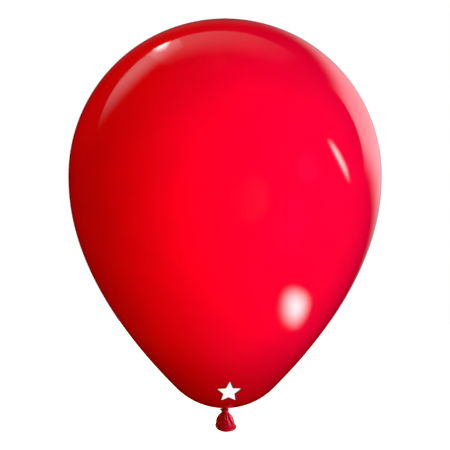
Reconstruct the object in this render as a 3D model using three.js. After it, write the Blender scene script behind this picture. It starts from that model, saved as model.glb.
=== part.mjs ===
// A latex party balloon, blown up to 12 inches across and closed with an overhand knot in its own neck.
// Millimetres, +Z up. The origin is on the axis in the tie groove, the narrow place between the
// inflated envelope and the knot. The envelope stands above it; the knot, tail and lip hang below it.
import * as THREE from 'three';

const degrees = THREE.MathUtils.degToRad;
const axisPoint = (height) => new THREE.Vector2(0, height);

// Envelope: a hemisphere on a long taper that ends in a small round cap
const envelopeRadius = 152.5;
const equatorHeight = 232.1;
const poleHeight = 1.0;
const capRadius = 68;
const capAngle = degrees(46.5);
const shoulderHandle = 28;
const taperHandle = 147;
const filmThickness = 0.02;
const filmStep = 16;
const openingRadius = 8.9;

// Throat and neck: gathered latex between the film and the knot, turning on a bead in the tie groove
const throatRadius = 8.5;
const throatThickness = 0.45;
const noseRadius = 3.1;
const noseHeight = 0.7;
const seatEdgeHeight = 0.3;
const neckRadius = 2.3;
const runningGap = 0.3;
const throatFolds = 14;
const throatFoldDepth = 0.12;

// Knot: one strand that goes down the core, once round it, and down the core again
const strandDiameter = 1.9;
const strandGap = 0.08;
const wrapTopHeight = -2.85;
const wrapRise = 2.2;
const wrapTurns = 400 / 360;
const wrapStart = degrees(110);
const strandTopHeight = -2.65;

// Tail: the free end of the neck, an open skirt with the moulded lip rolled round its mouth
const tailPivotHeight = -7.25;
const tailLean = degrees(16);
const skirtThickness = 0.4;
const socketRadius = strandDiameter / 2 + runningGap;
const skirtFolds = 7;
const skirtFoldDepth = 0.3;
const lipDrop = 13.3;
const lipRingRadius = 8.9;
const lipBeadRadius = 1.45;

function latexMaterial(color, roughness) {
  return new THREE.MeshStandardMaterial({ color, roughness, metalness: 0 });
}

function part(name, geometry, material) {
  const mesh = new THREE.Mesh(geometry, material);
  mesh.name = name;
  return mesh;
}

// A profile of radius and height turned once round the Z axis.
function turned(profile, sides) {
  return new THREE.LatheGeometry(profile, sides).rotateX(Math.PI / 2);
}

// Points along a curve, and the same points moved sideways by a wall thickness. They lie to the left
// of the way the curve runs, seen with radius to the right and height up.
function wall(curve, steps, thickness) {
  const near = [];
  const far = [];
  for (let i = 0; i <= steps; i += 1) {
    const point = curve.getPointAt(i / steps);
    const along = curve.getTangentAt(i / steps);
    near.push(point);
    far.push(new THREE.Vector2(point.x - along.y * thickness, point.y + along.x * thickness));
  }
  return { near, far };
}

// Presses folds that run along a turned surface, by moving each vertex in or out around the axis.
function pressFolds(geometry, folds, depthAt) {
  const position = geometry.getAttribute('position');
  const vertex = new THREE.Vector3();
  for (let i = 0; i < position.count; i += 1) {
    vertex.fromBufferAttribute(position, i);
    const radius = Math.hypot(vertex.x, vertex.y);
    const wave = Math.cos(folds * Math.atan2(vertex.y, vertex.x));
    const shift = depthAt(radius, vertex.z) * wave;
    const scale = radius > 0 ? (radius + shift) / radius : 1;
    position.setXY(i, vertex.x * scale, vertex.y * scale);
  }
  return geometry;
}

// Height of the cap's outer surface above a given radius.
function capHeight(radius) {
  return poleHeight + capRadius - Math.sqrt(capRadius ** 2 - radius ** 2);
}

function envelopeGeometry() {
  const openingAngle = Math.asin(openingRadius / capRadius);
  const capEnd = new THREE.Vector2(
    capRadius * Math.sin(capAngle),
    poleHeight + capRadius * (1 - Math.cos(capAngle)),
  );
  const taperDirection = new THREE.Vector2(Math.cos(capAngle), Math.sin(capAngle));
  const outline = new THREE.Path();
  outline.absarc(0, poleHeight + capRadius, capRadius, openingAngle - Math.PI / 2, capAngle - Math.PI / 2);
  outline.bezierCurveTo(
    capEnd.x + taperHandle * taperDirection.x,
    capEnd.y + taperHandle * taperDirection.y,
    envelopeRadius,
    equatorHeight - shoulderHandle,
    envelopeRadius,
    equatorHeight,
  );
  outline.absarc(0, equatorHeight, envelopeRadius, 0, Math.PI / 2);
  const outside = [];
  const inside = [];
  for (const curve of outline.curves) {
    const steps = Math.ceil(curve.getLength() / filmStep);
    const { near, far } = wall(curve, steps, filmThickness);
    outside.push(...near);
    inside.push(...far);
  }
  return turned([...outside, ...inside.reverse(), outside[0].clone()], 48);
}

function throatGeometry() {
  const seatRadius = neckRadius + runningGap;
  const seatAngle = Math.asin(seatEdgeHeight / seatRadius);
  const outline = new THREE.Path();
  outline.moveTo(0, seatRadius);
  outline.absarc(0, 0, seatRadius, Math.PI / 2, seatAngle, true);
  const seat = outline.getSpacedPoints(6);
  const underside = new THREE.CubicBezierCurve(
    new THREE.Vector2(noseRadius, noseHeight),
    new THREE.Vector2(noseRadius, capHeight(0)),
    new THREE.Vector2(2 * noseRadius, capHeight(2 * noseRadius)),
    new THREE.Vector2(throatRadius, capHeight(throatRadius)),
  );
  const profile = [
    ...seat,
    new THREE.Vector2(noseRadius, seatEdgeHeight),
    ...underside.getSpacedPoints(8),
    new THREE.Vector2(throatRadius, capHeight(throatRadius) + throatThickness),
    new THREE.Vector2(2 * noseRadius, capHeight(2 * noseRadius) + throatThickness),
    axisPoint(seatRadius + throatThickness),
  ];
  const middleRadius = (noseRadius + throatRadius) / 2;
  const halfWidth = middleRadius - noseRadius;
  const depthAt = (radius) => throatFoldDepth * Math.max(0, 1 - Math.abs(radius - middleRadius) / halfWidth);
  return pressFolds(turned(profile, 4 * throatFolds), throatFolds, depthAt);
}

function neckGeometry() {
  return new THREE.SphereGeometry(neckRadius, 20, 12).rotateX(Math.PI / 2);
}

// The strand's centre line, from under the neck bead to the tail's pivot.
function knotPath() {
  const coreOffset = strandDiameter / 2 + strandGap;
  const wrapWidth = coreOffset + strandDiameter + strandGap;
  const wrapDepth = strandDiameter + strandGap;
  const wrapBottomHeight = wrapTopHeight - wrapRise * wrapTurns;
  const points = [
    new THREE.Vector3(-coreOffset, 0, strandTopHeight),
    new THREE.Vector3(-coreOffset, 0, wrapBottomHeight + strandDiameter),
    new THREE.Vector3(-coreOffset, wrapDepth / 5, wrapBottomHeight + strandDiameter / 4),
  ];
  const wrapSteps = 16;
  for (let i = 0; i <= wrapSteps; i += 1) {
    const turn = wrapStart - (i / wrapSteps) * wrapTurns * 2 * Math.PI;
    const height = wrapBottomHeight + (i / wrapSteps) * wrapRise * wrapTurns;
    points.push(new THREE.Vector3(wrapWidth * Math.cos(turn), wrapDepth * Math.sin(turn), height));
  }
  points.push(
    new THREE.Vector3(coreOffset, wrapDepth / 5, wrapTopHeight - strandDiameter / 4),
    new THREE.Vector3(coreOffset, 0, wrapTopHeight - strandDiameter),
    new THREE.Vector3(coreOffset, 0, wrapBottomHeight + strandDiameter / 4),
    new THREE.Vector3(0, 0, tailPivotHeight + strandDiameter / 2),
    new THREE.Vector3(0, 0, tailPivotHeight),
  );
  return new THREE.CatmullRomCurve3(points, false, 'centripetal');
}

function knotGeometry() {
  const section = new THREE.Shape();
  section.absarc(0, 0, strandDiameter / 2, 0, 2 * Math.PI);
  return new THREE.ExtrudeGeometry(section, {
    steps: 80,
    curveSegments: 6,
    bevelEnabled: false,
    extrudePath: knotPath(),
  });
}

// The skirt hangs from its own origin at the tail's pivot, down to the lip.
function skirtGeometry() {
  const rimRadius = socketRadius + skirtThickness;
  const edgeDrop = lipDrop - lipBeadRadius - runningGap;
  const outer = new THREE.SplineCurve([
    new THREE.Vector2(lipRingRadius, -edgeDrop),
    new THREE.Vector2(0.9 * lipRingRadius, -0.62 * edgeDrop),
    new THREE.Vector2(0.68 * lipRingRadius, -0.3 * edgeDrop),
    new THREE.Vector2(0.38 * lipRingRadius, -0.09 * edgeDrop),
    new THREE.Vector2(rimRadius, 0),
  ]);
  const { near, far } = wall(outer, 12, skirtThickness);
  const ceiling = -socketRadius - skirtThickness;
  const inner = far.filter((point) => point.y < ceiling);
  const socket = new THREE.Path();
  socket.absarc(0, 0, socketRadius, 0, -Math.PI / 2, true);
  const profile = [
    axisPoint(ceiling),
    ...inner.reverse(),
    ...near,
    ...socket.getSpacedPoints(6),
  ];
  const depthAt = (radius, height) => {
    const along = THREE.MathUtils.clamp(-height / edgeDrop, 0, 1);
    return radius > rimRadius ? skirtFoldDepth * Math.sin(Math.PI * along) : 0;
  };
  return pressFolds(turned(profile, 6 * skirtFolds), skirtFolds, depthAt);
}

function lipGeometry() {
  return new THREE.TorusGeometry(lipRingRadius, lipBeadRadius, 10, 48).translate(0, 0, -lipDrop);
}

const stretchedLatex = latexMaterial(0xe2062c, 0.15);
const gatheredLatex = latexMaterial(0xb30218, 0.25);

const tail = new THREE.Group();
tail.position.set(0, 0, tailPivotHeight);
tail.rotation.x = tailLean;
tail.add(
  part('tail_skirt', skirtGeometry(), gatheredLatex),
  part('rolled_lip', lipGeometry(), gatheredLatex),
);

const balloon = new THREE.Group();
balloon.add(
  part('envelope', envelopeGeometry(), stretchedLatex),
  part('throat_gather', throatGeometry(), gatheredLatex),
  part('neck_stem', neckGeometry(), gatheredLatex),
  part('overhand_knot', knotGeometry(), gatheredLatex),
  tail,
);

export default balloon;
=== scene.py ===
# The looks of a tied latex party balloon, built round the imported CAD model.
# Lengths of the balloon are millimetres and turn into metres where a mesh is made. The studio and
# the materials are in metres.
# +Z is up, the front faces -Y, and the origin is on the axis in the tie groove.
import math

import bpy
import numpy as np
from mathutils import Matrix, Vector


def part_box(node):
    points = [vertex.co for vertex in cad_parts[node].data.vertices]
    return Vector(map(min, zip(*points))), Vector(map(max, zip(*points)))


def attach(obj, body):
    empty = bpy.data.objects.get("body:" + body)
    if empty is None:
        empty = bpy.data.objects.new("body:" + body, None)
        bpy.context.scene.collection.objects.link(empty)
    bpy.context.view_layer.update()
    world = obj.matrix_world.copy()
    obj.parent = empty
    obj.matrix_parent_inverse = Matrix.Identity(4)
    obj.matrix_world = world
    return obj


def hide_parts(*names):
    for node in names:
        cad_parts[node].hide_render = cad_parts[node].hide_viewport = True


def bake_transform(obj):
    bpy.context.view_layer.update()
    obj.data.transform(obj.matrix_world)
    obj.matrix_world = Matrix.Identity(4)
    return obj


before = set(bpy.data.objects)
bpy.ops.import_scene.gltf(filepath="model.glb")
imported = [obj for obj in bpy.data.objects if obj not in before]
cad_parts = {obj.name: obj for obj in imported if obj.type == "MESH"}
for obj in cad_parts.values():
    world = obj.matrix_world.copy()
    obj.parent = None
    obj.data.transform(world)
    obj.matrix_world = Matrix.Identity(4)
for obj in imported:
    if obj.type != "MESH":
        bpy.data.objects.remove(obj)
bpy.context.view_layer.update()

MM = 0.001

# Envelope, as the CAD has it
envelope_low, envelope_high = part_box("envelope")
ENVELOPE_RADIUS = (envelope_high.x - envelope_low.x) / 2 / MM
CROWN_HEIGHT = envelope_high.z / MM
EQUATOR_HEIGHT = CROWN_HEIGHT - ENVELOPE_RADIUS
POLE_HEIGHT = 1.0
CAP_RADIUS = 68
CAP_ANGLE = math.radians(46.5)
SHOULDER_HANDLE = 28
TAPER_HANDLE = 147
THROAT_RADIUS = 8.5
NOSE_RADIUS = 2.75
NOSE_HEIGHT = 0.7
NOSE_EDGE_HEIGHT = 0.3

# Skin
SKIN_COLUMNS = 240
SKIN_LONGEST_STEP = 4.2
SKIN_SHORTEST_STEP = 0.16
SKIN_STEP_SHARE = 0.09
TWIST_TOP = 9
TWIST_STEP = 0.4
PLEAT_COUNT = 15
PLEAT_REACH = 17
PLEAT_DEPTH = 0.24
SWELL = 0.22
NIB_RADIUS = 7
NIB_HEIGHT = 0.25
CROWN_HOLE = 0.35
LEAST_REACH = 0.05

# Printed mark: a plain five-pointed star inside a darker outline
STAR_RADIUS = 12
STAR_WAIST = 0.45
STAR_STRETCH = 1.5
OUTLINE_WIDTH = 2.0
STAR_TURN = math.radians(4.0)
STAR_HEIGHT = 28.5
INK_LIFT = 0.12
OUTLINE_LIFT = 0.07
INK_ROOT = -0.08

# Neck bead and knot
BEAD_RADIUS = 2.38
BEAD_CREASES = 15
RING_CENTRE = (0.1, 0.0, -4.2)
RING_HALF_WIDTH = 2.85
RING_HALF_DEPTH = 2.0
RING_SLOPE = 0.3
RING_RISE = 1.5
RING_TURNS = 400 / 360
RING_START = math.radians(110)
BAND_HALF_THICKNESS = 1.2
BAND_HALF_WIDTH = 1.5
BAND_CREASES = 8
BAND_CREASE_DEPTH = 0.2
BAND_WANDER = 3.4
BAND_CORNER = 0.85
CORE_SHAPE = (
    (1.6, -1.66),
    (2.5, -1.66),
    (3.1, -1.42),
    (3.45, -1.62),
    (3.45, -2.3),
    (3.1, -3.3),
    (2.9, -4.6),
    (2.6, -5.4),
    (1.8, -6.2),
)
CORE_CORNER = 1.0
CORE_SHIFT = 0.1
CORE_SQUASH = (1.12, 0.92)
KNOT_VOXEL = 0.06

# Tail
TAIL_PIVOT = -7.25
TAIL_LEAN = math.radians(16)
SKIRT_PROFILE = (
    (-3.4, 1.3),
    (-2.8, 2.6),
    (-2.0, 3.8),
    (-1.0, 4.9),
    (0.3, 5.9),
    (2.2, 7.2),
    (4.2, 8.3),
    (6.3, 9.0),
    (8.6, 9.3),
    (10.6, 9.35),
    (12.3, 9.1),
)
SKIRT_THICKNESS = 0.38
SKIRT_COLUMNS = 240
SKIRT_ROWS = 70
LIP_DROP = 13.3
LIP_RING_RADIUS = 9.05
LIP_BEAD_RADIUS = 1.42
LIP_SHIFT = 0.8
MOUTH_SAG = 0.25

# Each crease of the tail: where it starts round the mouth in degrees, how many degrees it wanders
# on its way down, its width in degrees and its depth
SKIRT_CREASES = (
    (-160, 6, 9, 0.75),
    (-124, -6, 8, 0.55),
    (-88, 4, 7, 1.0),
    (-60, 18, 6, 1.3),
    (-22, 10, 8, 0.8),
    (14, -8, 9, 0.9),
    (52, 10, 8, 0.8),
    (88, -8, 10, 1.0),
    (126, 10, 9, 0.9),
    (163, -6, 8, 0.7),
)

# Flat faces between the tail's folds, each from one angle round the mouth to the next
SKIRT_FACETS = ((-170, -85), (-85, -32), (-32, 30), (60, 128))
FACET_DEPTH = 0.75

# Studio, in metres
SUBJECT = Vector((0, 0, 0.19))
FLOOR_HEIGHT = -0.35
FLOOR_RADIUS = 2.2
FLOOR_SIDES = 96
PANEL_DISTANCE = 30
CAMERA_DISTANCE = 1.8
CAMERA_ELEVATION = math.radians(8)
CAMERA_LENS = 147
SENSOR = 36
FRAMED_POINT = Vector((0, 0, 0.1931))
AIM_HEIGHT = 0.1833
AMBIENT = (1.0, 0.7, 0.04)
AMBIENT_LEVEL = 0.69
AMBIENT_SLOPE = 0.6


def smoothstep(value):
    """0 up to 0, 1 from 1 on, and a smooth step between."""
    value = np.clip(value, 0, 1)
    return value * value * (3 - 2 * value)


def angle_apart(a, b):
    """The smallest signed turn from angle b to angle a."""
    return (a - b + math.pi) % (2 * math.pi) - math.pi


# Meshes

def make_piece(name, points, faces, material):
    """A smooth-shaded object whose points are given in millimetres."""
    mesh = bpy.data.meshes.new(name)
    mesh.from_pydata([tuple(p) for p in np.asarray(points) * MM], [], faces)
    mesh.validate()
    mesh.update()
    mesh.shade_smooth()
    mesh.materials.append(material)
    piece = bpy.data.objects.new(name, mesh)
    bpy.context.scene.collection.objects.link(piece)
    return piece


def loft(rings, closed=False):
    """Joins rings of points that run the same way round. Open ends are closed with a fan to a
    middle point."""
    count = len(rings[0])
    points = np.concatenate(rings)
    faces = []
    pairs = len(rings) if closed else len(rings) - 1
    for i in range(pairs):
        a = i * count
        b = ((i + 1) % len(rings)) * count
        for j in range(count):
            k = (j + 1) % count
            faces.append((a + j, b + j, b + k, a + k))
    if not closed:
        ends = np.array([rings[0].mean(0), rings[-1].mean(0)])
        top, bottom = len(points), len(points) + 1
        last = (len(rings) - 1) * count
        points = np.concatenate([points, ends])
        for j in range(count):
            k = (j + 1) % count
            faces.append((top, j, k))
            faces.append((bottom, last + k, last + j))
    return points, faces


def merge(*parts):
    points, faces = [], []
    offset = 0
    for more_points, more_faces in parts:
        points.append(more_points)
        faces += [tuple(index + offset for index in face) for face in more_faces]
        offset += len(more_points)
    return np.concatenate(points), faces


def spline(knots, count):
    """A centripetal Catmull-Rom curve through the knots, with evenly spaced points."""
    knots = np.asarray(knots, float)
    gaps = np.linalg.norm(np.diff(knots, axis=0), axis=1) ** 0.5
    at = np.concatenate([[0], np.cumsum(gaps)])
    padded = np.concatenate([[2 * knots[0] - knots[1]], knots, [2 * knots[-1] - knots[-2]]])
    times = np.concatenate([[2 * at[0] - at[1]], at, [2 * at[-1] - at[-2]]])
    dense = []
    for i in range(1, len(padded) - 2):
        t0, t1, t2, t3 = times[i - 1:i + 3]
        p0, p1, p2, p3 = padded[i - 1:i + 3]
        for t in np.linspace(t1, t2, 40, endpoint=False):
            a1 = (t1 - t) / (t1 - t0) * p0 + (t - t0) / (t1 - t0) * p1
            a2 = (t2 - t) / (t2 - t1) * p1 + (t - t1) / (t2 - t1) * p2
            a3 = (t3 - t) / (t3 - t2) * p2 + (t - t2) / (t3 - t2) * p3
            b1 = (t2 - t) / (t2 - t0) * a1 + (t - t0) / (t2 - t0) * a2
            b2 = (t3 - t) / (t3 - t1) * a2 + (t - t1) / (t3 - t1) * a3
            dense.append((t2 - t) / (t2 - t1) * b1 + (t - t1) / (t2 - t1) * b2)
    dense.append(padded[-2])
    dense = np.array(dense)
    lengths = np.concatenate([[0], np.cumsum(np.linalg.norm(np.diff(dense, axis=0), axis=1))])
    wanted = np.linspace(0, lengths[-1], count)
    return np.stack([np.interp(wanted, lengths, dense[:, k]) for k in range(dense.shape[1])], 1)


# Materials

class Look:
    """A material with a Principled shader, and short names for the nodes that this script needs."""

    def __init__(self, name, roughness):
        self.material = bpy.data.materials.new(name)
        self.material.use_nodes = True
        self.tree = self.material.node_tree
        self.shader = self.tree.nodes["Principled BSDF"]
        self.shader.inputs["Roughness"].default_value = roughness
        self.shader.inputs["IOR"].default_value = 1.5
        self.place = self.tree.nodes.new("ShaderNodeTexCoord").outputs["Object"]

    def join(self, source, socket):
        self.tree.links.new(source, socket)

    def scaled(self, *scale):
        node = self.tree.nodes.new("ShaderNodeMapping")
        node.inputs["Scale"].default_value = scale
        self.join(self.place, node.inputs["Vector"])
        return node.outputs["Vector"]

    def noise(self, vector, scale, detail=3.0, rough=0.5, distortion=0.0):
        node = self.tree.nodes.new("ShaderNodeTexNoise")
        node.inputs["Scale"].default_value = scale
        node.inputs["Detail"].default_value = detail
        node.inputs["Roughness"].default_value = rough
        node.inputs["Distortion"].default_value = distortion
        self.join(vector, node.inputs["Vector"])
        return node.outputs["Fac"]

    def height(self):
        node = self.tree.nodes.new("ShaderNodeSeparateXYZ")
        self.join(self.place, node.inputs["Vector"])
        return node.outputs["Z"]

    def sharpness(self):
        return self.tree.nodes.new("ShaderNodeNewGeometry").outputs["Pointiness"]

    def span(self, value, low, high, to_low=0.0, to_high=1.0):
        """Runs smoothly from to_low to to_high while the value goes from low to high."""
        node = self.tree.nodes.new("ShaderNodeMapRange")
        node.interpolation_type = "SMOOTHSTEP"
        node.inputs["From Min"].default_value = low
        node.inputs["From Max"].default_value = high
        node.inputs["To Min"].default_value = to_low
        node.inputs["To Max"].default_value = to_high
        self.join(value, node.inputs["Value"])
        return node.outputs["Result"]

    def mix(self, share, first, second):
        node = self.tree.nodes.new("ShaderNodeMix")
        node.data_type = "RGBA"
        self.join(share, node.inputs["Factor"])
        for value, socket in ((first, node.inputs["A"]), (second, node.inputs["B"])):
            if isinstance(value, tuple):
                socket.default_value = (*value, 1)
            else:
                self.join(value, socket)
        return node.outputs["Result"]

    def bump(self, height, strength, distance):
        node = self.tree.nodes.new("ShaderNodeBump")
        node.inputs["Strength"].default_value = strength
        node.inputs["Distance"].default_value = distance
        self.join(height, node.inputs["Height"])
        self.join(node.outputs["Normal"], self.shader.inputs["Normal"])


def stretched_latex():
    """Thin blown-up film: glossy, with cloudy thick and thin places, faint dipping streaks, and a
    deeper colour at the crown, on the taper and at the neck."""
    thin, thick, streaked = (0.88, 0.0003, 0.031), (0.82, 0.0002, 0.028), (0.90, 0.0004, 0.033)
    crown_red, taper_red, neck_red = (0.50, 0.0002, 0.015), (0.50, 0.0003, 0.001), (0.38, 0.0004, 0.010)
    look = Look("stretched_latex", 0.06)
    cloud = look.noise(look.place, 22, detail=4, rough=0.55, distortion=0.3)
    streak = look.noise(look.scaled(160, 160, 9), 1, rough=0.6)
    base = look.mix(look.span(cloud, 0.3, 0.7), thick, thin)
    base = look.mix(look.span(streak, 0.35, 0.75, to_high=0.22), base, streaked)
    crown = look.span(look.height(), (CROWN_HEIGHT - 3.5) * MM, (CROWN_HEIGHT - 0.1) * MM, to_high=0.55)
    base = look.mix(crown, base, crown_red)
    taper = look.span(look.height(), 100 * MM, 12 * MM, to_high=0.8)
    base = look.mix(taper, base, taper_red)
    neck = look.span(look.height(), 3.2 * MM, 1.4 * MM, to_high=0.6)
    base = look.mix(neck, base, neck_red)
    look.join(base, look.shader.inputs["Base Color"])
    smear = look.noise(look.place, 38, rough=0.6, distortion=0.4)
    look.join(look.span(smear, 0.35, 0.7, 0.045, 0.085), look.shader.inputs["Roughness"])
    pimple = look.noise(look.place, 900, detail=2)
    look.bump(pimple, 0.05, 0.02 * MM)
    return look.material


def gathered_latex():
    """Thick unstretched latex: deeper red and silkier, with fine creases, a trace of powder and painted
    shade darkening the sunken places."""
    dark, light = (0.28, 0.0006, 0.007), (0.38, 0.0014, 0.012)
    crease_shade, dusted = (0.12, 0.0004, 0.004), (0.85, 0.22, 0.24)
    look = Look("gathered_latex", 0.24)
    cloud = look.noise(look.place, 700, detail=4, rough=0.6, distortion=0.6)
    base = look.mix(look.span(cloud, 0.3, 0.72), dark, light)
    # painted shade: the colour darkens where the surface dips in, standing in for the shade that falls in
    # the creases
    base = look.mix(look.span(look.sharpness(), 0.505, 0.44), base, crease_shade)
    powder = look.noise(look.place, 2400, detail=5, rough=0.7)
    base = look.mix(look.span(powder, 0.62, 0.82, to_high=0.10), base, dusted)
    look.join(base, look.shader.inputs["Base Color"])
    look.join(look.span(cloud, 0.3, 0.7, 0.16, 0.30), look.shader.inputs["Roughness"])
    crease = look.noise(look.scaled(1.0, 1.0, 0.35), 2600, detail=4, rough=0.6, distortion=1.0)
    look.bump(crease, 0.35, 0.05 * MM)
    return look.material


def printed_ink(name, fresh, worn):
    """Screen-printed ink that has stretched with the film: matter than it, with pinholes where the
    worn colour shows."""
    look = Look(name, 0.38)
    film = look.noise(look.place, 1400, detail=4, rough=0.65, distortion=0.4)
    patch = look.noise(look.place, 260)
    base = look.mix(look.span(patch, 0.3, 0.7), fresh, tuple(0.94 * value for value in fresh))
    base = look.mix(look.span(film, 0.63, 0.72, to_high=0.75), base, worn)
    look.join(base, look.shader.inputs["Base Color"])
    look.join(look.span(film, 0.3, 0.7, 0.32, 0.5), look.shader.inputs["Roughness"])
    look.bump(film, 0.2, 0.04 * MM)
    return look.material


# Envelope skin

def envelope_outline():
    """Radius and height, closely spaced, from the crown down to the inside of the neck."""
    quarter = np.radians(np.linspace(90, 0, 700))
    dome = np.stack([
        ENVELOPE_RADIUS * np.cos(quarter),
        EQUATOR_HEIGHT + ENVELOPE_RADIUS * np.sin(quarter),
    ], 1)
    cap_end = np.array([
        CAP_RADIUS * math.sin(CAP_ANGLE),
        POLE_HEIGHT + CAP_RADIUS * (1 - math.cos(CAP_ANGLE)),
    ])
    along = np.array([math.cos(CAP_ANGLE), math.sin(CAP_ANGLE)])
    taper = bezier(
        (ENVELOPE_RADIUS, EQUATOR_HEIGHT),
        (ENVELOPE_RADIUS, EQUATOR_HEIGHT - SHOULDER_HANDLE),
        cap_end + TAPER_HANDLE * along,
        cap_end,
        900,
    )
    throat_angle = math.asin(THROAT_RADIUS / CAP_RADIUS)
    turn = np.linspace(CAP_ANGLE, throat_angle, 300)
    cap = np.stack([CAP_RADIUS * np.sin(turn), cap_height(CAP_RADIUS * np.sin(turn))], 1)
    throat = bezier(
        (THROAT_RADIUS, cap_height(THROAT_RADIUS)),
        (2 * NOSE_RADIUS, cap_height(2 * NOSE_RADIUS)),
        (NOSE_RADIUS, cap_height(0)),
        (NOSE_RADIUS, NOSE_HEIGHT),
        160,
    )
    inside = spline([
        (NOSE_RADIUS, NOSE_HEIGHT),
        (NOSE_RADIUS - 0.02, NOSE_EDGE_HEIGHT + 0.12),
        (NOSE_RADIUS - 0.12, NOSE_EDGE_HEIGHT),
        (NOSE_RADIUS - 0.24, NOSE_EDGE_HEIGHT + 0.15),
        (2.3, 1.0),
        (1.6, 1.95),
        (0.15, 2.6),
    ], 80)
    return np.concatenate([dome, taper[1:], cap[1:], throat[1:], inside[1:]])


def cap_height(radius):
    return POLE_HEIGHT + CAP_RADIUS - np.sqrt(CAP_RADIUS ** 2 - np.square(radius))


def bezier(a, b, c, d, count):
    t = np.linspace(0, 1, count)[:, None]
    a, b, c, d = (np.asarray(point, float) for point in (a, b, c, d))
    return (1 - t) ** 3 * a + 3 * t * (1 - t) ** 2 * b + 3 * t * t * (1 - t) * c + t ** 3 * d


OUTLINE = envelope_outline()
OUTLINE_LENGTH = np.concatenate([[0], np.cumsum(np.linalg.norm(np.diff(OUTLINE, axis=0), axis=1))])


def outline_at(length):
    """Radius, height and outward normal at a distance from the crown along the outline."""
    radius = np.interp(length, OUTLINE_LENGTH, OUTLINE[:, 0])
    height = np.interp(length, OUTLINE_LENGTH, OUTLINE[:, 1])
    step = 0.05
    ahead = np.minimum(length + step, OUTLINE_LENGTH[-1])
    behind = np.maximum(length - step, 0)
    dr = np.interp(ahead, OUTLINE_LENGTH, OUTLINE[:, 0]) - np.interp(behind, OUTLINE_LENGTH, OUTLINE[:, 0])
    dz = np.interp(ahead, OUTLINE_LENGTH, OUTLINE[:, 1]) - np.interp(behind, OUTLINE_LENGTH, OUTLINE[:, 1])
    size = np.hypot(dr, dz)
    return radius, height, -dz / size, dr / size


def pleat(turn):
    """-1 in the creases and 1 on the folds, unevenly spaced round the neck."""
    uneven = turn + 0.10 * np.sin(3 * turn + 1.0) + 0.06 * np.sin(5 * turn + 2.2)
    depth = 0.75 + 0.25 * np.sin(4 * turn + 0.7)
    return (2 * np.abs(np.sin(PLEAT_COUNT / 2 * uneven)) ** 0.7 - 1) * depth


def skin_lift(radius, height, turn):
    """How far the skin stands off the ideal outline: slow swells, the neck's pleats and the thick
    nib at the crown."""
    wide = np.clip(radius / ENVELOPE_RADIUS, 0, 1)
    swell = SWELL * wide * (
        np.sin(2 * turn + 0.8 + height / 120) + 0.6 * np.sin(3 * turn - height / 75)
    ) / 1.6
    low = height < EQUATOR_HEIGHT
    near_neck = np.where(low, smoothstep(1 - (radius - NOSE_RADIUS) / PLEAT_REACH), 0) ** 2
    gather = PLEAT_DEPTH * near_neck * np.minimum(1, radius / NOSE_RADIUS) ** 2 * pleat(turn)
    nib = np.where(low, 0, NIB_HEIGHT * smoothstep(1 - radius / NIB_RADIUS) ** 2)
    return swell - SWELL * wide * 0.5 + gather + nib


def skin_point(length, turn, off=0.0):
    """A point of the skin, at a distance from the crown and a turn round it, or a little off it."""
    radius, height, out, up = outline_at(length)
    lift = skin_lift(radius, height, turn) + off
    reach = np.maximum(radius + out * lift, LEAST_REACH)
    return np.stack(np.broadcast_arrays(
        reach * np.cos(turn), reach * np.sin(turn), height + up * lift), -1)


def skin_lengths():
    """Distances along the outline for the skin's rings: close together where it is narrow or twists."""
    lengths = [CROWN_HOLE]
    while lengths[-1] < OUTLINE_LENGTH[-1]:
        radius, height, _, _ = outline_at(lengths[-1])
        longest = TWIST_STEP if height < TWIST_TOP + 1 else SKIN_LONGEST_STEP
        step = min(longest, max(SKIN_SHORTEST_STEP, SKIN_STEP_SHARE * radius))
        lengths.append(lengths[-1] + step)
    lengths[-1] = OUTLINE_LENGTH[-1]
    return lengths


def build_skin(material):
    turns = np.linspace(0, 2 * math.pi, SKIN_COLUMNS, endpoint=False)
    rings = [skin_point(length, turns) for length in skin_lengths()]
    points, faces = loft(rings)
    return make_piece("balloon_skin", points, [face[::-1] for face in faces], material)


# Printed mark

def star_outline(radius, points_per_side=12):
    """Points round a five-pointed star, across and up, with slightly rounded corners."""
    corners = []
    for i in range(10):
        reach = radius if i % 2 == 0 else radius * STAR_WAIST
        turn = math.pi / 2 + math.pi / 5 * i
        corners.append((reach * math.cos(turn), STAR_STRETCH * reach * math.sin(turn)))
    corners = np.array(corners)
    share = np.linspace(0, 1, points_per_side, endpoint=False)[:, None]
    sides = [a + share * (b - a) for a, b in zip(corners, np.roll(corners, -1, axis=0))]
    outline = np.concatenate(sides)
    for _ in range(3):
        outline = 0.5 * outline + 0.25 * (np.roll(outline, 1, axis=0) + np.roll(outline, -1, axis=0))
    return outline


def grown(outline, width):
    """The same outline moved outwards by a width."""
    along = np.roll(outline, -1, axis=0) - np.roll(outline, 1, axis=0)
    along /= np.linalg.norm(along, axis=1)[:, None]
    moved = outline + width * np.stack([along[:, 1], -along[:, 0]], 1)
    for _ in range(4):
        moved = 0.5 * moved + 0.25 * (np.roll(moved, 1, axis=0) + np.roll(moved, -1, axis=0))
    return moved


def build_mark(name, outline, lift, material):
    """A thin layer that follows the skin, with its edge running down into it. A share is how far a
    ring of points is from the mark's middle to its outline."""
    lowest = int(np.argmin(OUTLINE[:, 1]))
    centre = np.interp(-STAR_HEIGHT, -OUTLINE[:lowest, 1], OUTLINE_LENGTH[:lowest])
    layers = [(share, lift) for share in np.linspace(0.04, 0.96, 16)]
    layers += [(0.99, lift * 0.9), (1.0, lift * 0.5), (1.0, INK_ROOT)]
    layers += [(share, INK_ROOT) for share in np.linspace(0.9, 0.04, 8)]
    rings = []
    for share, off in layers:
        across, up = share * outline[:, 0], share * outline[:, 1]
        length = centre - up
        radius = outline_at(length)[0]
        turn = -math.pi / 2 + STAR_TURN + across / radius
        rings.append(skin_point(length, turn, off))
    points, faces = loft(rings)
    return make_piece(name, points, faces, material)


# Neck bead and knot

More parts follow.
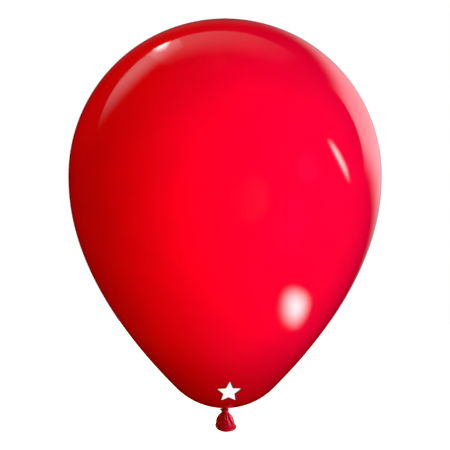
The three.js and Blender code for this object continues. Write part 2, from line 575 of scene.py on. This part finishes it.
def build_bead(material):
    """The narrowest gather of the neck, creased lengthways, that turns in the tie groove."""
    turns = np.linspace(0, 2 * math.pi, 120, endpoint=False)
    uneven = turns + 0.14 * np.sin(2 * turns + 0.6)
    crease = np.abs(np.sin(BEAD_CREASES / 2 * uneven))
    rings = []
    for tilt in np.radians(np.linspace(86, -86, 34)):
        radius = BEAD_RADIUS * (0.92 + 0.08 * crease * math.cos(tilt))
        rings.append(np.stack([
            radius * math.cos(tilt) * np.cos(turns),
            radius * math.cos(tilt) * np.sin(turns),
            radius * math.sin(tilt),
        ], 1))
    points, faces = loft(rings)
    return make_piece("neck_bead", points, [face[::-1] for face in faces], material)


def swept(path, sides, section):
    """Sweeps a section along a path. The section's first axis turns slowly to point away from the
    ring's middle, and keeps its way where the path comes near the middle."""
    along = np.gradient(path, axis=0)
    along /= np.linalg.norm(along, axis=1)[:, None]
    turns = np.linspace(0, 2 * math.pi, sides, endpoint=False)
    rings = []
    previous = None
    near_axis = 1.2
    follow = 0.25
    for i, (point, way) in enumerate(zip(path, along)):
        outward = np.array([point[0] - RING_CENTRE[0], point[1] - RING_CENTRE[1], 0.0])
        outward -= way * (outward @ way)
        size = np.linalg.norm(outward)
        if previous is not None and size < near_axis:
            held = previous - way * (previous @ way)
            outward = held / np.linalg.norm(held)
        else:
            outward /= size
        if previous is not None:
            outward = follow * outward + (1 - follow) * (previous - way * (previous @ way))
            outward /= np.linalg.norm(outward)
        previous = outward
        across = np.cross(way, outward)
        a, b = section(i / (len(path) - 1), turns)
        rings.append(point + a[:, None] * outward + b[:, None] * across)
    return loft(rings)


def band_section(share, turns):
    """A flattened strand whose creases wander along it and that thins where it tucks in."""
    tuck = 0.62 + 0.38 * smoothstep(min(share, 1 - share) / 0.16)
    wander = BAND_WANDER * share * 2 * math.pi / BAND_CREASES
    ridges = np.abs(np.sin(BAND_CREASES / 2 * (turns + wander) + 0.5 * np.sin(2 * turns + 5 * share)))
    finer = np.cos(11 * turns - 9 * share)
    swell = 1 + BAND_CREASE_DEPTH * (ridges ** 0.7 - 0.7) + 0.025 * finer
    a = tuck * BAND_HALF_THICKNESS * swell * np.sign(np.cos(turns)) * np.abs(np.cos(turns)) ** BAND_CORNER
    b = tuck * BAND_HALF_WIDTH * swell * np.sign(np.sin(turns)) * np.abs(np.sin(turns)) ** BAND_CORNER
    return a, b


def ring_path():
    """Once round the core, tilted down to the right, with its ends tucked in at the back."""
    steps = 60
    knots = []
    for i in range(steps + 1):
        share = i / steps
        turn = RING_START - share * RING_TURNS * 2 * math.pi
        tucked = 0.30 + 0.70 * float(smoothstep(min(share, 1 - share) / 0.10))
        x = tucked * RING_HALF_WIDTH * math.cos(turn)
        y = tucked * RING_HALF_DEPTH * math.sin(turn)
        z = RING_CENTRE[2] - RING_SLOPE * x + RING_RISE * (share - 0.5)
        knots.append((RING_CENTRE[0] + x, RING_CENTRE[1] + y, z))
    return spline(knots, 150)


def core_rings():
    """The gathered neck running down through the knot, with a corner at its upper left."""
    turns = np.linspace(0, 2 * math.pi, 110, endpoint=False)
    corner = np.exp(-(angle_apart(turns, math.pi) / 0.45) ** 2)
    rings = []
    for radius, height in spline(CORE_SHAPE, 70):
        twist = 0.25 * height
        crease = np.abs(np.sin(4.5 * (turns + twist) + 0.4 * np.sin(2 * turns)))
        near_top = float(smoothstep((radius - 2.4) / 0.9) * smoothstep((height + 4.2) / 2.0))
        reach = radius * (0.9 + 0.12 * crease ** 0.7) + CORE_CORNER * near_top * corner
        rings.append(np.stack([
            CORE_SHIFT + CORE_SQUASH[0] * reach * np.cos(turns),
            CORE_SQUASH[1] * reach * np.sin(turns),
            np.full(len(turns), height),
        ], 1))
    return rings


def build_knot(material):
    """The strands are fused at 1000 times their size, because a voxel can't be smaller than 0.1 mm."""
    band = swept(ring_path(), 72, band_section)
    core = loft(core_rings())
    core = (core[0], [face[::-1] for face in core[1]])
    points, faces = merge(band, core)
    piece = make_piece("knot_wrap", points / MM, faces, material)
    fused = piece.modifiers.new("fuse", "REMESH")
    fused.mode = "VOXEL"
    fused.voxel_size = KNOT_VOXEL
    fused.use_smooth_shade = True
    soft = piece.modifiers.new("soften", "SMOOTH")
    soft.factor = 0.5
    soft.iterations = 1
    apply_modifiers(piece)
    piece.data.transform(Matrix.Scale(MM, 4))
    piece.data.shade_smooth()
    return piece


def apply_modifiers(piece):
    graph = bpy.context.evaluated_depsgraph_get()
    made = bpy.data.meshes.new_from_object(piece.evaluated_get(graph), depsgraph=graph)
    piece.modifiers.clear()
    old = piece.data
    piece.data = made
    made.name = old.name + "_shape"
    bpy.data.meshes.remove(old)


# Tail

def skirt_fold(turns, share):
    """0 on the rounded folds and down to -1 in the creases."""
    total = np.zeros(len(turns))
    for start, wander, width, depth in SKIRT_CREASES:
        middle = math.radians(start + wander * share)
        apart = np.abs(angle_apart(turns, middle)) / math.radians(width)
        total -= depth * np.exp(-apart ** 1.4)
    return total


def skirt_depth(share):
    """Deepest just below the knot, still there half way down, and pulled nearly flat by the lip."""
    return 0.4 + 0.8 * float(smoothstep(share / 0.3)) - 0.95 * float(smoothstep((share - 0.55) / 0.42))


def lean(points):
    """Bends points below the tail's pivot away from the camera's side, about an axis along X."""
    drop = TAIL_PIVOT - points[:, 2]
    turn = TAIL_LEAN * smoothstep((drop + 2.5) / 5)
    c, s = np.cos(turn), np.sin(turn)
    y, z = points[:, 1], points[:, 2] - TAIL_PIVOT
    return np.stack([points[:, 0], y * c - z * s, TAIL_PIVOT + y * s + z * c], 1)


def flattening(turns, start, end):
    """How far a chord from one angle to another lies inside a circle, as a share of its radius."""
    middle = math.radians(start + end) / 2
    half = math.radians(end - start) / 2
    apart = np.abs(angle_apart(turns, middle))
    return np.where(apart < half, 1 - math.cos(half) / np.cos(np.minimum(apart, half)), 0)


def skirt_ring(radius, drop, share, turns, inset):
    """One ring of the tail, this far below its pivot, pushed in by the inset for the inner wall."""
    fold = skirt_depth(share) * skirt_fold(turns, share)
    flat = FACET_DEPTH * float(smoothstep(share / 0.25) * smoothstep((1.0 - share) / 0.45))
    for start, end in SKIRT_FACETS:
        fold = fold - flat * radius * flattening(turns, start, end)
    squash = 1 + 0.04 * np.cos(2 * turns + 0.6) + 0.02 * np.sin(3 * turns)
    reach = np.maximum(radius * squash + fold - inset, 0.3)
    sag = MOUTH_SAG * share * np.sin(2 * turns + 0.4)
    shift = LIP_SHIFT * share
    return np.stack([
        shift + reach * np.cos(turns),
        reach * np.sin(turns),
        TAIL_PIVOT - drop - sag - shift * np.cos(turns),
    ], 1)


def build_skirt(material):
    """The flared free end of the neck: an outer wall down to the lip, and an inner wall back up."""
    turns = np.linspace(0, 2 * math.pi, SKIRT_COLUMNS, endpoint=False)
    shape = spline([(radius, drop) for drop, radius in SKIRT_PROFILE], SKIRT_ROWS)
    shares = np.linspace(0, 1, SKIRT_ROWS)
    rings = []
    for (radius, drop), share in zip(shape, shares):
        rings.append(lean(skirt_ring(radius, drop, share, turns, 0)))
    inner_top = 6
    for (radius, drop), share in list(zip(shape, shares))[:inner_top:-1]:
        rings.append(lean(skirt_ring(radius, drop, share, turns, SKIRT_THICKNESS)))
    points, faces = loft(rings)
    return make_piece("tail_fan", points, [face[::-1] for face in faces], material)


def build_lip(material):
    """The moulded edge rolled up on itself: an uneven bead with the roll's seam along its inner top."""
    section = np.linspace(0, 2 * math.pi, 40, endpoint=False)
    rings = []
    for turn in np.linspace(0, 2 * math.pi, 180, endpoint=False):
        ring_radius = LIP_RING_RADIUS * (1 + 0.022 * math.cos(2 * turn + 0.6) + 0.01 * math.sin(3 * turn))
        bead = LIP_BEAD_RADIUS * (1 + 0.05 * math.sin(3 * turn + 1.1) + 0.03 * math.sin(7 * turn + 0.4))
        seam = 0.14 * np.exp(-(angle_apart(section, math.radians(128)) / 0.22) ** 2)
        groove = 0.05 * np.exp(-(angle_apart(section, math.radians(-20)) / 0.16) ** 2)
        pucker = 0.02 * np.sin(47 * turn + 3 * np.sin(2 * turn)) * (1 + np.cos(section)) / 2
        reach = bead * (1 - seam - groove + pucker)
        radius = ring_radius + reach * np.cos(section)
        sag = MOUTH_SAG * math.sin(2 * turn + 0.4) + LIP_SHIFT * math.cos(turn)
        rings.append(np.stack([
            LIP_SHIFT + radius * math.cos(turn),
            radius * math.sin(turn),
            TAIL_PIVOT - LIP_DROP - sag + reach * np.sin(section),
        ], 1))
    rings = [lean(ring) for ring in rings]
    points, faces = loft(rings, closed=True)
    return make_piece("lip_roll", points, [face[::-1] for face in faces], material)


# Studio: lights, world, floor and camera

def direction(azimuth, elevation):
    """Azimuth 0 is behind the object and 90 is to its right, as the camera sees it."""
    a, e = math.radians(azimuth), math.radians(elevation)
    return Vector((math.sin(a) * math.cos(e), math.cos(a) * math.cos(e), math.sin(e)))


def show_only_in_gloss(panel):
    panel.visible_camera = False
    panel.visible_diffuse = False
    panel.visible_glossy = True
    panel.visible_transmission = False
    panel.visible_volume_scatter = False
    panel.visible_shadow = False


def panel_glow(name, strength, colour, softness, lean_across, lean_up):
    """Light that fades out towards the panel's round edge and grows towards one side of it."""
    material = bpy.data.materials.new(name)
    material.use_nodes = True
    material.cycles.emission_sampling = "NONE"
    tree = material.node_tree
    tree.nodes.clear()

    def math_node(operation, *values):
        made = tree.nodes.new("ShaderNodeMath")
        made.operation = operation
        for value, socket in zip(values, made.inputs):
            if isinstance(value, (int, float)):
                socket.default_value = value
            else:
                tree.links.new(value, socket)
        return made.outputs[0]

    place = tree.nodes.new("ShaderNodeTexCoord").outputs["Object"]
    split = tree.nodes.new("ShaderNodeSeparateXYZ")
    tree.links.new(place, split.inputs[0])
    across, up = split.outputs["X"], split.outputs["Y"]
    squares = math_node("ADD", math_node("MULTIPLY", across, across), math_node("MULTIPLY", up, up))
    reach = math_node("SQRT", squares)
    fade = tree.nodes.new("ShaderNodeMapRange")
    fade.interpolation_type = "SMOOTHSTEP"
    fade.inputs["From Min"].default_value = 1.0
    fade.inputs["From Max"].default_value = 1.0 - softness
    tree.links.new(reach, fade.inputs["Value"])
    slope = math_node(
        "ADD", math_node("MULTIPLY", across, lean_across), math_node("MULTIPLY", up, lean_up))
    slope = math_node("MAXIMUM", math_node("ADD", slope, 1.0), 0.0)
    level = math_node("MULTIPLY", fade.outputs["Result"], slope)
    level = math_node("MULTIPLY", level, strength)
    emission = tree.nodes.new("ShaderNodeEmission")
    emission.inputs["Color"].default_value = (*colour, 1)
    tree.links.new(level, emission.inputs["Strength"])
    clear = tree.nodes.new("ShaderNodeBsdfTransparent")
    both = tree.nodes.new("ShaderNodeAddShader")
    tree.links.new(emission.outputs[0], both.inputs[0])
    tree.links.new(clear.outputs[0], both.inputs[1])
    output = tree.nodes.new("ShaderNodeOutputMaterial")
    tree.links.new(both.outputs[0], output.inputs["Surface"])
    return material


def reflector(name, aim, half_size, strength, softness, slopes,
              left=-1, right=1, bottom=-1, colour=(1, 1, 1)):
    """A far soft panel that only shows as a reflection in the gloss. The aim is azimuth, elevation and
    roll in degrees. Half sizes are shares of the panel's distance, the slopes are how fast it gets
    brighter across and up, and left, right and bottom cut it off with a sharp edge."""
    azimuth, elevation, roll = aim
    away = direction(azimuth, elevation)
    level = Vector((math.cos(math.radians(azimuth)), -math.sin(math.radians(azimuth)), 0))
    upright = level.cross(away)
    turn = math.radians(roll)
    across = level * math.cos(turn) + upright * math.sin(turn)
    up = upright * math.cos(turn) - level * math.sin(turn)
    mesh = bpy.data.meshes.new(name)
    corners = [(left, bottom, 0), (right, bottom, 0), (right, 1, 0), (left, 1, 0)]
    mesh.from_pydata(corners, [], [(0, 1, 2, 3)])
    mesh.materials.append(panel_glow(name, strength, colour, softness, *slopes))
    panel = bpy.data.objects.new(name, mesh)
    bpy.context.scene.collection.objects.link(panel)
    half_width, half_height = (PANEL_DISTANCE * share for share in half_size)
    columns = Matrix((across * half_width, up * half_height, across.cross(up))).transposed()
    panel.matrix_world = Matrix.Translation(SUBJECT + away * PANEL_DISTANCE) @ columns.to_4x4()
    show_only_in_gloss(panel)
    return panel


def add_lamp(data, power, colour, glossy=False):
    """Adds a lamp that the camera doesn't see. It shows in the gloss only where that is asked for."""
    data.energy = power
    data.color = colour
    thing = bpy.data.objects.new(data.name, data)
    bpy.context.scene.collection.objects.link(thing)
    thing.visible_glossy = glossy
    thing.visible_camera = False
    return thing


def point_lamp(name, place, power, colour, size):
    data = bpy.data.lights.new(name, "POINT")
    data.shadow_soft_size = size
    thing = add_lamp(data, power, colour)
    thing.location = place
    return thing


def far_lamp(name, azimuth, elevation, power, colour, spread, glossy=False):
    """Light from one direction, with a spread in degrees that softens it."""
    data = bpy.data.lights.new(name, "SUN")
    data.angle = math.radians(spread)
    thing = add_lamp(data, power, colour, glossy)
    thing.rotation_euler = direction(azimuth, elevation).to_track_quat("Z", "Y").to_euler()
    return thing


def light_only(lamp, *pieces):
    """Keeps a lamp off everything except these pieces."""
    lit = bpy.data.collections.new(lamp.name + "_lit")
    for piece in pieces:
        lit.objects.link(piece)
    lamp.light_linking.receiver_collection = lit


def build_lights():
    """A warm key light in front, cool light from behind on the right, and the panels for the gloss."""
    point_lamp("key_light", (0.134, -0.514, 0.176), 8.5, (1.0, 0.5, 0.08), 0.12)
    far_lamp("top_light", -42, 79, 1.18, (1.0, 0.8, 0.16), 20)
    far_lamp("side_light", 118, 8, 4.0, (0.08, 0.2, 1.0), 20)
    far_lamp("halo_light", 130, -22, 2.5, (0.12, 0.0, 1.0), 30)
    reflector("left_panel", (-37.5, 30.5, 33.5), (0.56, 0.49), 0.74, 0.75, (0.15, 1.9),
              right=0.58, bottom=0.06)
    reflector("top_panel", (-5, 49, 14), (1.27, 0.565), 0.38, 0.85, (-1.9, 0.43),
              left=-0.34, bottom=-0.17)
    reflector("small_panel", (-18.3, 29.2, 33.4), (0.067, 0.52), 13, 0.6, (0.12, -1.36), bottom=0.31)
    reflector("right_panel", (30, 7, 18), (0.93, 0.42), 1.9, 0.66, (1.57, -0.33),
              right=0.52, colour=(1.0, 0.62, 0.66))
    reflector("strip_panel", (86, 8, 59.3), (0.276, 0.069), 7.4, 0.58, (0.32, -1.62))
    reflector("low_panel", (84, -52.7, -9), (0.366, 0.15), 11.2, 1.0, (1.1, 1.98))
    reflector("rim_panel", (2, 14, 0), (0.5, 0.4), 0.055, 0.9, (0.0, 0.0))


def build_world():
    """White for the camera, dark for the gloss, and for everything else a warm soft light that is
    stronger from behind."""
    world = bpy.data.worlds.new("studio")
    bpy.context.scene.world = world
    world.use_nodes = True
    tree = world.node_tree
    tree.nodes.clear()
    rays = tree.nodes.new("ShaderNodeLightPath")
    backdrop = tree.nodes.new("ShaderNodeBackground")
    backdrop.inputs["Color"].default_value = (1, 1, 1, 1)
    backdrop.inputs["Strength"].default_value = 1.0
    ambient = tree.nodes.new("ShaderNodeBackground")
    ambient.inputs["Color"].default_value = (*AMBIENT, 1)
    way = tree.nodes.new("ShaderNodeSeparateXYZ")
    tree.links.new(tree.nodes.new("ShaderNodeTexCoord").outputs["Generated"], way.inputs[0])
    level = tree.nodes.new("ShaderNodeMath")
    level.operation = "MULTIPLY_ADD"
    level.inputs[1].default_value = AMBIENT_SLOPE
    level.inputs[2].default_value = AMBIENT_LEVEL
    tree.links.new(way.outputs["Y"], level.inputs[0])
    tree.links.new(level.outputs[0], ambient.inputs["Strength"])
    dark = tree.nodes.new("ShaderNodeBackground")
    dark.inputs["Color"].default_value = (0, 0, 0, 1)
    matt = tree.nodes.new("ShaderNodeMixShader")
    tree.links.new(rays.outputs["Is Diffuse Ray"], matt.inputs["Fac"])
    tree.links.new(dark.outputs[0], matt.inputs[1])
    tree.links.new(ambient.outputs[0], matt.inputs[2])
    seen = tree.nodes.new("ShaderNodeMixShader")
    tree.links.new(rays.outputs["Is Camera Ray"], seen.inputs["Fac"])
    tree.links.new(matt.outputs[0], seen.inputs[1])
    tree.links.new(backdrop.outputs[0], seen.inputs[2])
    output = tree.nodes.new("ShaderNodeOutputWorld")
    tree.links.new(seen.outputs[0], output.inputs["Surface"])


def floor_material():
    """Pale, and white to the camera, from above. Clear from below, so that a low view isn't blocked."""
    material = bpy.data.materials.new("pale_floor")
    material.use_nodes = True
    tree = material.node_tree
    tree.nodes.clear()
    matt = tree.nodes.new("ShaderNodeBsdfDiffuse")
    matt.inputs["Color"].default_value = (0.8, 0.8, 0.8, 1)
    glow = tree.nodes.new("ShaderNodeEmission")
    rays = tree.nodes.new("ShaderNodeLightPath")
    tree.links.new(rays.outputs["Is Camera Ray"], glow.inputs["Strength"])
    both = tree.nodes.new("ShaderNodeAddShader")
    tree.links.new(matt.outputs[0], both.inputs[0])
    tree.links.new(glow.outputs[0], both.inputs[1])
    clear = tree.nodes.new("ShaderNodeBsdfTransparent")
    side = tree.nodes.new("ShaderNodeNewGeometry")
    mixed = tree.nodes.new("ShaderNodeMixShader")
    tree.links.new(side.outputs["Backfacing"], mixed.inputs["Fac"])
    tree.links.new(both.outputs[0], mixed.inputs[1])
    tree.links.new(clear.outputs[0], mixed.inputs[2])
    output = tree.nodes.new("ShaderNodeOutputMaterial")
    tree.links.new(mixed.outputs[0], output.inputs["Surface"])
    return material


def build_floor():
    turns = np.linspace(0, 2 * math.pi, FLOOR_SIDES, endpoint=False)
    rim = [(FLOOR_RADIUS * math.cos(t), FLOOR_RADIUS * math.sin(t), FLOOR_HEIGHT) for t in turns]
    mesh = bpy.data.meshes.new("floor")
    mesh.from_pydata(rim, [], [tuple(range(len(rim)))])
    mesh.materials.append(floor_material())
    floor = bpy.data.objects.new("floor", mesh)
    bpy.context.scene.collection.objects.link(floor)
    floor.visible_glossy = False
    floor.visible_diffuse = False


def build_camera():
    data = bpy.data.cameras.new("camera")
    data.lens = CAMERA_LENS
    data.sensor_width = SENSOR
    data.clip_end = 50
    camera = bpy.data.objects.new("camera", data)
    bpy.context.scene.collection.objects.link(camera)
    back = Vector((0, -math.cos(CAMERA_ELEVATION), math.sin(CAMERA_ELEVATION)))
    camera.location = FRAMED_POINT + back * CAMERA_DISTANCE
    look = Vector((0, 0, AIM_HEIGHT)) - camera.location
    camera.rotation_euler = look.to_track_quat("-Z", "Y").to_euler()
    bpy.context.scene.camera = camera


bpy.context.scene.view_settings.view_transform = "Standard"
bpy.context.scene.view_settings.look = "None"
build_camera()
build_world()
build_floor()
build_lights()

stretched = stretched_latex()
gathered = gathered_latex()

skin = build_skin(stretched)
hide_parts("envelope", "throat_gather")
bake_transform(skin)

outline_ink = printed_ink("outline_ink", (0.22, 0.0004, 0.004), (0.45, 0.001, 0.010))
mark_ink = printed_ink("mark_ink", (0.92, 0.90, 0.90), (0.9, 0.35, 0.36))
star = star_outline(STAR_RADIUS)
border = build_mark("mark_outline", grown(star, OUTLINE_WIDTH), OUTLINE_LIFT, outline_ink)
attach(border, "envelope")
mark = build_mark("mark_star", star, INK_LIFT, mark_ink)
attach(mark, "envelope")

mark_light = far_lamp("mark_light", 175, -5, 4.0, (0.54, 0.78, 0.8), 20)
light_only(mark_light, mark)

bead = build_bead(gathered)
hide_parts("neck_stem")
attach(bead, "neck")

knot = build_knot(gathered)
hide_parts("overhand_knot")
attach(knot, "knot")

skirt = build_skirt(gathered)
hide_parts("tail_skirt")
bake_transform(skirt)

lip = build_lip(gathered)
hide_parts("rolled_lip")
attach(lip, "tail")

tail_light = far_lamp("tail_light", 106, 12, 3.9, (1.0, 0.22, 0.46), 50, glossy=True)
light_only(tail_light, bead, knot, skirt, lip)
